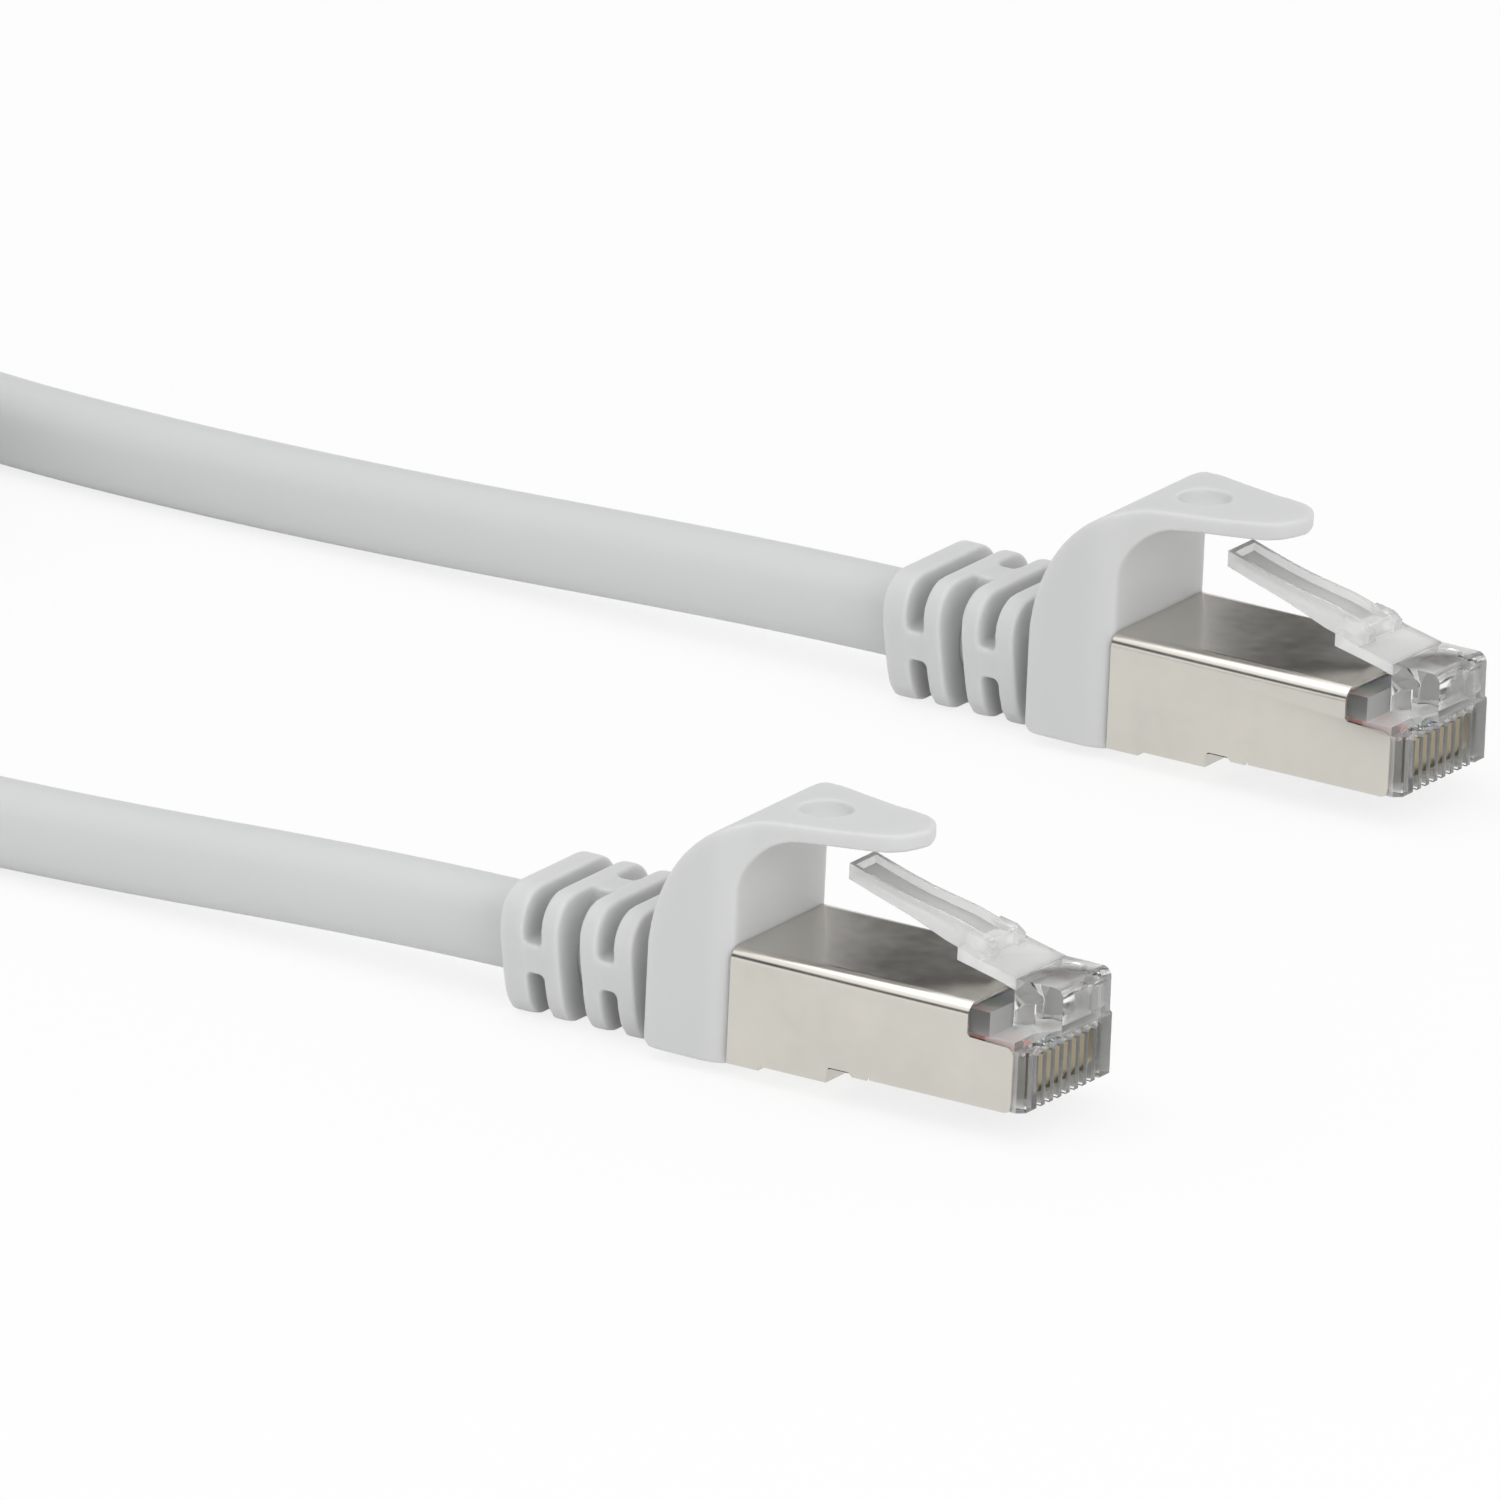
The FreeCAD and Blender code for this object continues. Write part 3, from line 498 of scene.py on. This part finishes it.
# %% Clear latch
pad_side = [(-2.7, 7.28), (-3.55, 7.56), (-6.33, 8.2), (-6.9, 8.33), (-6.9, 9.2), (-6.6, 9.15), (-5.2, 8.65),
            (-2.4, 8.0), (-2.4, 7.24)]
lever_under = [(-5.2, 8.1), (-6.33, 8.2), (-8.64, 8.87), (-11.45, 9.95), (-14.25, 10.83), (-16.1, 11.43)]
lever_over = [(-16.1, 12.5), (-14.6, 12.03), (-13.0, 11.55), (-11.5, 11.17), (-9.8, 10.83), (-8.17, 10.52),
              (-6.5, 10.02), (-5.3, 9.6)]
PAD_HALF = 3.0
LEVER_HALF = 1.55
TROUGH_HALF = 1.22
PRONG_HALF = 2.1
PRONG_INSIDE = 1.15
LATCH_EDGE = 0.08
latch = prism(pad_side, -PAD_HALF, PAD_HALF, "Y")
latch = combine(latch, [prism(lever_under + lever_over, -LEVER_HALF, LEVER_HALF, "Y")], "UNION")
trough_side = [(-15.78, 14.0), (-15.78, 11.86)] + [(x, z - 0.55) for x, z in lever_over[1:7]]
trough_side += [(-5.4, 9.3), (-5.4, 14.0)]
latch = combine(latch, [prism(trough_side, -TROUGH_HALF, TROUGH_HALF, "Y")], "DIFFERENCE")
prong_side = [(-6.85, 8.6), (-4.95, 8.4), (-4.9, 9.25), (-5.5, 9.72), (-6.85, 9.98)]
prongs = [prism(prong_side, PRONG_INSIDE, PRONG_HALF, "Y"), prism(prong_side, -PRONG_HALF, -PRONG_INSIDE, "Y")]
latch = combine(latch, prongs, "UNION")
latch_mesh = crisp(latch, LATCH_EDGE)


# Trough floor: painted shade. The clear lever's upward floor faces get a grey, mostly opaque material for the
# grey seen there.
def on_trough_floor(middle, normal):
    return normal.z > 0.6 and abs(middle.y) < 1.24 and -15.8 < middle.x < -6.0


def on_pad(middle, normal):
    return normal.z > 0.6 and -5.3 < middle.x < -2.6 and abs(middle.y) < 2.95


floor_faces = mark_faces(latch_mesh, on_trough_floor, 2)
pad_faces = mark_faces(latch_mesh, on_pad, 1)
print("latch faces", len(latch_mesh.polygons), "trough floor", floor_faces, "pad", pad_faces)

# %% Clear pieces: place them
clear_pieces = []
for suffix in "ab":
    piece = place_piece(housing_mesh, "clear_housing", suffix)
    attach(piece, "root")
    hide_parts("plug_housing_" + suffix)
    clear_pieces.append(piece)
    piece = place_piece(latch_mesh, "clear_latch", suffix)
    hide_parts("latch_" + suffix)
    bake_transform(piece)
    clear_pieces.append(piece)
print("clear pieces", len(clear_pieces))

# %% [markdown]
# Real moulded and metal surfaces are never quite even. One shader node group gives every
# material its own fine unevenness: a colour shift, a roughness shift and a height for a bump.
# It is built once and placed in each material with its own sizes.

# %% Shared shader group: fine unevenness
def make_unevenness_group():
    group = bpy.data.node_groups.new("fine_unevenness", "ShaderNodeTree")
    group.interface.new_socket(name="Colour", in_out="INPUT", socket_type="NodeSocketColor")
    for name, value in (("Roughness", 0.5), ("Patch Scale", 120.0), ("Grain Scale", 3000.0),
                        ("Colour Shift", 0.03), ("Roughness Shift", 0.1)):
        socket = group.interface.new_socket(name=name, in_out="INPUT", socket_type="NodeSocketFloat")
        socket.default_value = value
    for name, kind in (("Colour", "NodeSocketColor"), ("Roughness", "NodeSocketFloat"),
                       ("Height", "NodeSocketFloat")):
        group.interface.new_socket(name=name, in_out="OUTPUT", socket_type=kind)
    nodes, links = group.nodes, group.links
    given = nodes.new("NodeGroupInput")
    result = nodes.new("NodeGroupOutput")
    place = nodes.new("ShaderNodeTexCoord")
    patches = nodes.new("ShaderNodeTexNoise")
    patches.inputs["Detail"].default_value = 3
    grain = nodes.new("ShaderNodeTexNoise")
    grain.inputs["Detail"].default_value = 2
    links.new(place.outputs["Object"], patches.inputs["Vector"])
    links.new(place.outputs["Object"], grain.inputs["Vector"])
    links.new(given.outputs["Patch Scale"], patches.inputs["Scale"])
    links.new(given.outputs["Grain Scale"], grain.inputs["Scale"])

    def math_node(operation, first, second):
        node = nodes.new("ShaderNodeMath")
        node.operation = operation
        for slot, value in zip(node.inputs, (first, second)):
            if isinstance(value, (int, float)):
                slot.default_value = value
            else:
                links.new(value, slot)
        return node.outputs[0]

    centred = math_node("SUBTRACT", patches.outputs["Fac"], 0.5)
    grain_centred = math_node("SUBTRACT", grain.outputs["Fac"], 0.5)
    both = math_node("ADD", centred, math_node("MULTIPLY", grain_centred, 0.5))
    shade = math_node("ADD", math_node("MULTIPLY", both, given.outputs["Colour Shift"]), 1.0)
    scaled = nodes.new("ShaderNodeVectorMath")
    scaled.operation = "SCALE"
    links.new(given.outputs["Colour"], scaled.inputs[0])
    links.new(shade, scaled.inputs["Scale"])
    links.new(scaled.outputs[0], result.inputs["Colour"])
    rough = math_node("ADD", math_node("MULTIPLY", both, given.outputs["Roughness Shift"]),
                      given.outputs["Roughness"])
    links.new(rough, result.inputs["Roughness"])
    height = math_node("ADD", patches.outputs["Fac"], math_node("MULTIPLY", grain.outputs["Fac"], 0.3))
    links.new(height, result.inputs["Height"])
    return group


UNEVENNESS = make_unevenness_group()
print("group outputs", [item.name for item in UNEVENNESS.interface.items_tree if item.in_out == "OUTPUT"])

# %% Material helper
def new_material(name, colour, roughness, patch_scale=120.0, grain_scale=3000.0, colour_shift=0.04,
                 roughness_shift=0.1, bump=0.1, bump_depth=0.00002, **sockets):
    """A Principled material whose colour, roughness and bump come through the unevenness group."""
    material = bpy.data.materials.new(name)
    material.use_nodes = True
    nodes, links = material.node_tree.nodes, material.node_tree.links
    shader = nodes["Principled BSDF"]
    uneven = nodes.new("ShaderNodeGroup")
    uneven.node_tree = UNEVENNESS
    uneven.name = "uneven"
    uneven.inputs["Colour"].default_value = tuple(colour) + (1,)
    uneven.inputs["Roughness"].default_value = roughness
    uneven.inputs["Patch Scale"].default_value = patch_scale
    uneven.inputs["Grain Scale"].default_value = grain_scale
    uneven.inputs["Colour Shift"].default_value = colour_shift
    uneven.inputs["Roughness Shift"].default_value = roughness_shift
    relief_node = nodes.new("ShaderNodeBump")
    relief_node.name = "relief"
    relief_node.inputs["Strength"].default_value = bump
    relief_node.inputs["Distance"].default_value = bump_depth
    links.new(uneven.outputs["Colour"], shader.inputs["Base Color"])
    links.new(uneven.outputs["Roughness"], shader.inputs["Roughness"])
    links.new(uneven.outputs["Height"], relief_node.inputs["Height"])
    links.new(relief_node.outputs["Normal"], shader.inputs["Normal"])
    for socket, value in sockets.items():
        shader.inputs[socket.replace("_", " ")].default_value = value
    return material


def paint(target, *materials):
    """Puts the materials in the slots of an object in turn. A CAD part has one slot already."""
    while len(target.data.materials) < len(materials):
        target.data.materials.append(None)
    for slot, material in zip(target.material_slots, materials):
        slot.link = "OBJECT"
        slot.material = material


print("material helper ready")

# %% [markdown]
# The boot and the cable's jacket are the same pale grey plastic. The boot came out of a
# mould with a fine satin skin. The jacket was drawn through a die, so it is smoother and
# carries very faint waves along its length; here it gets the boot's kind of fine unevenness,
# with larger patches.

# %% Boot and jacket finishes
boot_plastic = new_material("satin_boot_plastic", (0.632, 0.636, 0.638), 0.5,
                            patch_scale=180, grain_scale=6000, colour_shift=0.03, roughness_shift=0.12,
                            bump=0.15, bump_depth=0.00003, Subsurface_Weight=0.5,
                            Subsurface_Radius=(1.0, 0.95, 0.9), Subsurface_Scale=0.0012)
for boot in boots:
    paint(boot, boot_plastic)
jacket_plastic = new_material("drawn_cable_jacket", (0.625, 0.634, 0.634), 0.48,
                              patch_scale=90, grain_scale=5000, colour_shift=0.025, roughness_shift=0.1,
                              bump=0.12, bump_depth=0.00003, Subsurface_Weight=0.3,
                              Subsurface_Radius=(1.0, 0.95, 0.9), Subsurface_Scale=0.0012)
paint(cable, jacket_plastic)
for suffix in "ab":
    paint(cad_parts["jacket_end_" + suffix], jacket_plastic)
print("boot and jacket painted")

# %% [markdown]
# Nickel plate over folded sheet looks like a warm grey mirror gone slightly blind. Fine
# rolling marks run along the sheet, and a few small handling marks break the reflection.

# %% Nickel finish
def make_nickel():
    material = new_material("nickel_plated_sheet", (0.625, 0.6, 0.55), 0.21, patch_scale=170, grain_scale=900,
                            colour_shift=0.14, roughness_shift=0.1, bump=0.02, bump_depth=0.00005, Metallic=1.0)
    nodes, links = material.node_tree.nodes, material.node_tree.links
    shader = nodes["Principled BSDF"]
    place = nodes.new("ShaderNodeTexCoord")
    stretch = nodes.new("ShaderNodeMapping")
    stretch.inputs["Scale"].default_value = (120, 4200, 4200)
    marks = nodes.new("ShaderNodeTexNoise")
    marks.inputs["Scale"].default_value = 1
    marks.inputs["Detail"].default_value = 4
    lines = nodes.new("ShaderNodeBump")
    lines.inputs["Strength"].default_value = 0.015
    lines.inputs["Distance"].default_value = 0.00001
    links.new(place.outputs["Object"], stretch.inputs["Vector"])
    links.new(stretch.outputs["Vector"], marks.inputs["Vector"])
    links.new(marks.outputs["Fac"], lines.inputs["Height"])
    links.new(nodes["relief"].outputs["Normal"], lines.inputs["Normal"])
    links.new(lines.outputs["Normal"], shader.inputs["Normal"])
    return material


nickel = make_nickel()
for suffix in "ab":
    paint(bpy.data.objects["shield_sheet_" + suffix], nickel)
print("nickel painted")

# %% [markdown]
# The nose and the latch are water-clear plastic with faint flow marks. The contacts are
# plated with gold. The wires inside have coloured skins, and one wire of each pair is white
# with a coloured stripe, which a mask across the row can tell apart.

# %% Clear plastic, gold and inner finishes
clear_plastic = new_material("clear_moulded_plastic", (0.968, 0.97, 0.962), 0.05, patch_scale=400,
                             grain_scale=4000, colour_shift=0.03, roughness_shift=0.06, bump=0.12,
                             bump_depth=0.00003, Transmission_Weight=1.0, IOR=1.5)
frosted_plastic = new_material("frosted_mould_face", (0.93, 0.935, 0.93), 0.5, patch_scale=500,
                               grain_scale=5000, colour_shift=0.05, roughness_shift=0.1, bump=0.3,
                               bump_depth=0.00003, Transmission_Weight=0.7, IOR=1.45)
# Painted shade: grey, half-clear plastic for the pocket walls, standing in for their shade inside the clear
# nose.
pocket_painted_shade = new_material("shaded_pocket_face", (0.5, 0.495, 0.49), 0.35, patch_scale=500,
                             grain_scale=5000, colour_shift=0.1, roughness_shift=0.1, bump=0.2,
                             bump_depth=0.00003, Transmission_Weight=0.3, IOR=1.45)
latch_plastic = new_material("milky_latch_plastic", (0.94, 0.945, 0.94), 0.14, patch_scale=500,
                             grain_scale=4000, colour_shift=0.05, roughness_shift=0.1, bump=0.15,
                             bump_depth=0.00003, Transmission_Weight=0.58, IOR=1.4)
# Painted shade: grey on the clear lever's trough floor, standing in for the shade seen through it.
trough_floor_painted_shade = new_material("matt_trough_floor_painted_shade", (0.55, 0.55, 0.545), 0.45, patch_scale=500,
                              grain_scale=5000, colour_shift=0.1, roughness_shift=0.15, bump=0.3,
                              bump_depth=0.00004, Transmission_Weight=0.25, IOR=1.45)
for piece in clear_pieces:
    if piece.name.startswith("clear_latch"):
        paint(piece, latch_plastic, frosted_plastic, trough_floor_painted_shade)
    else:
        paint(piece, clear_plastic, frosted_plastic, pocket_painted_shade)
gold = new_material("gold_plated_contact", (0.5, 0.43, 0.31), 0.32, patch_scale=600, grain_scale=5000,
                    colour_shift=0.1, roughness_shift=0.1, bump=0.05, Metallic=1.0)
braid_metal = new_material("tinned_braid_wire", (0.6, 0.6, 0.58), 0.4, patch_scale=1500, grain_scale=9000,
                           colour_shift=0.4, roughness_shift=0.2, bump=0.6, Metallic=1.0)
foil = new_material("bright_pair_foil", (0.75, 0.76, 0.78), 0.2, patch_scale=800, grain_scale=3000,
                    colour_shift=0.1, roughness_shift=0.15, bump=0.6, bump_depth=0.0001, Metallic=1.0)
bar_plastic = new_material("natural_load_bar", (0.8, 0.81, 0.8), 0.3, patch_scale=300, grain_scale=4000,
                           colour_shift=0.04, roughness_shift=0.08, bump=0.1)
for suffix in "ab":
    paint(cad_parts["contacts_" + suffix], gold)
    paint(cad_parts["braid_" + suffix], braid_metal)
    paint(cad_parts["pair_foils_" + suffix], foil)
    paint(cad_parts["load_bar_" + suffix], bar_plastic)
print("inner finishes painted")

# %% Wire skins
WIRE_COLOURS = {"orange": (0.85, 0.1, 0.04), "green": (0.03, 0.28, 0.08), "blue": (0.03, 0.09, 0.45),
                "brown": (0.2, 0.08, 0.035)}
WHITE_SKIN = (0.75, 0.74, 0.7, 1)
PAIR_MIDDLES = {"orange": -3 * WIRE_PITCH, "green": 0, "blue": 0, "brown": 3 * WIRE_PITCH}


def wire_skin(colour_name, suffix):
    """Coloured skin on one side of the pair's middle and white skin on the other."""
    material = new_material("wire_skin_" + colour_name + "_" + suffix, WIRE_COLOURS[colour_name], 0.35,
                            patch_scale=500, grain_scale=4000, colour_shift=0.08, roughness_shift=0.1, bump=0.1)
    nodes, links = material.node_tree.nodes, material.node_tree.links
    place = nodes.new("ShaderNodeTexCoord")
    split = nodes.new("ShaderNodeSeparateXYZ")
    side = nodes.new("ShaderNodeMath")
    side.operation = "GREATER_THAN"
    side.inputs[1].default_value = (PAIR_MIDDLES[colour_name] + PLUG_PLACES[suffix].y) * MM
    choice = nodes.new("ShaderNodeMix")
    choice.data_type = "RGBA"
    choice.inputs["A"].default_value = WIRE_COLOURS[colour_name] + (1,)
    choice.inputs["B"].default_value = WHITE_SKIN
    links.new(place.outputs["Object"], split.inputs[0])
    links.new(split.outputs["Y"], side.inputs[0])
    links.new(side.outputs[0], choice.inputs["Factor"])
    links.new(choice.outputs["Result"], nodes["uneven"].inputs["Colour"])
    return material


for colour_name in WIRE_COLOURS:
    for suffix in "ab":
        paint(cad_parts["conductors_" + colour_name + "_" + suffix], wire_skin(colour_name, suffix))
print("wires painted", len(WIRE_COLOURS))

# %% [markdown]
# The table is plain white. A surface that only scatters light would show a grey table, so the
# part of it that the camera sees is lifted to white and keeps a soft shadow. The same white
# is what metal and clear plastic see in it.

# %% Table
TABLE_HALF = 6000
TABLE_LIFT = 0.8
table_mesh = plate((-TABLE_HALF, TABLE_HALF), (-TABLE_HALF, TABLE_HALF), (-1.0, 0.0))
table_mesh.transform(Matrix.Scale(MM, 4))
table = bpy.data.objects.new("table", table_mesh)
bpy.context.scene.collection.objects.link(table)


def seen_directly(nodes, links):
    """1 for rays that come from the camera, a mirror surface or through clear plastic."""
    path = nodes.new("ShaderNodeLightPath")
    total = None
    for name in ("Is Camera Ray", "Is Glossy Ray", "Is Transmission Ray"):
        if total is None:
            total = path.outputs[name]
            continue
        node = nodes.new("ShaderNodeMath")
        node.operation = "MAXIMUM"
        links.new(total, node.inputs[0])
        links.new(path.outputs[name], node.inputs[1])
        total = node.outputs[0]
    return total


def make_table_material():
    material = bpy.data.materials.new("white_table")
    material.use_nodes = True
    nodes, links = material.node_tree.nodes, material.node_tree.links
    shader = nodes["Principled BSDF"]
    shader.inputs["Base Color"].default_value = (0.93, 0.93, 0.93, 1)
    shader.inputs["Roughness"].default_value = 0.9
    shader.inputs["Specular IOR Level"].default_value = 0.0
    glow = nodes.new("ShaderNodeEmission")
    glow.inputs["Color"].default_value = (1, 1, 1, 1)
    lift = nodes.new("ShaderNodeMath")
    lift.operation = "MULTIPLY"
    lift.inputs[1].default_value = TABLE_LIFT
    mix = nodes.new("ShaderNodeMixShader")
    links.new(seen_directly(nodes, links), lift.inputs[0])
    links.new(lift.outputs[0], mix.inputs["Fac"])
    links.new(shader.outputs[0], mix.inputs[1])
    links.new(glow.outputs[0], mix.inputs[2])
    links.new(mix.outputs[0], nodes["Material Output"].inputs["Surface"])
    return material


table.data.materials.append(make_table_material())
print("table laid")

# %% [markdown]
# Soft, even studio light: the surroundings give most of it, and two large lamps add a little
# direction. Mirrors see white near the table's edge and a grey studio higher up, which gives
# the shield its darker top.

# %% Surroundings
world = bpy.data.worlds.new("studio")
bpy.context.scene.world = world
world.use_nodes = True
nodes, links = world.node_tree.nodes, world.node_tree.links
for node in list(nodes):
    nodes.remove(node)
output = nodes.new("ShaderNodeOutputWorld")
direction = nodes.new("ShaderNodeTexCoord")
split = nodes.new("ShaderNodeSeparateXYZ")
links.new(direction.outputs["Generated"], split.inputs[0])


def height_shades(stops):
    """A soft run of greys from the horizon to straight overhead."""
    ramp = nodes.new("ShaderNodeValToRGB")
    while len(ramp.color_ramp.elements) < len(stops):
        ramp.color_ramp.elements.new(1.0)
    for element, (position, grey) in zip(ramp.color_ramp.elements, stops):
        element.position = position
        element.color = (grey, grey, grey, 1)
    links.new(split.outputs["Z"], ramp.inputs["Fac"])
    background = nodes.new("ShaderNodeBackground")
    links.new(ramp.outputs["Color"], background.inputs["Color"])
    return background


def choose(fac, when_off, when_on):
    node = nodes.new("ShaderNodeMixShader")
    links.new(fac, node.inputs["Fac"])
    links.new(when_off.outputs[0], node.inputs[1])
    links.new(when_on.outputs[0], node.inputs[2])
    return node


path = nodes.new("ShaderNodeLightPath")
plain = nodes.new("ShaderNodeBackground")
plain.inputs["Color"].default_value = (1, 1, 1, 1)
plain.inputs["Strength"].default_value = 0.78
white = nodes.new("ShaderNodeBackground")
white.inputs["Color"].default_value = (1, 1, 1, 1)
mirrored = height_shades([(0.18, 0.86), (0.26, 0.03), (0.43, 0.03), (0.57, 1.0)])
mirrored.inputs["Strength"].default_value = 1.35
looked_through = height_shades([(0.02, 1.0), (0.3, 0.9), (0.5, 0.9), (0.8, 1.0)])
looked_through.inputs["Strength"].default_value = 1.2
seen = choose(path.outputs["Is Glossy Ray"], plain, mirrored)
seen = choose(path.outputs["Is Transmission Ray"], seen, looked_through)
seen = choose(path.outputs["Is Camera Ray"], seen, white)
links.new(seen.outputs[0], output.inputs["Surface"])
print("surroundings ready")

# %% Lamps
def add_lamp(name, place, aim, size, power):
    data = bpy.data.lights.new(name, "AREA")
    data.size = size
    data.energy = power
    lamp = bpy.data.objects.new(name, data)
    lamp.location = place
    lamp.rotation_euler = (Vector(aim) - Vector(place)).to_track_quat("-Z", "Y").to_euler()
    bpy.context.scene.collection.objects.link(lamp)
    return lamp


add_lamp("soft_overhead", (-0.1, -0.1, 0.6), (-0.02, 0, 0), 0.5, 0.7)
add_lamp("soft_front", (0.5, -0.3, 0.25), (0, 0, 0), 0.4, 0.9)
bpy.context.scene.view_settings.view_transform = "Standard"
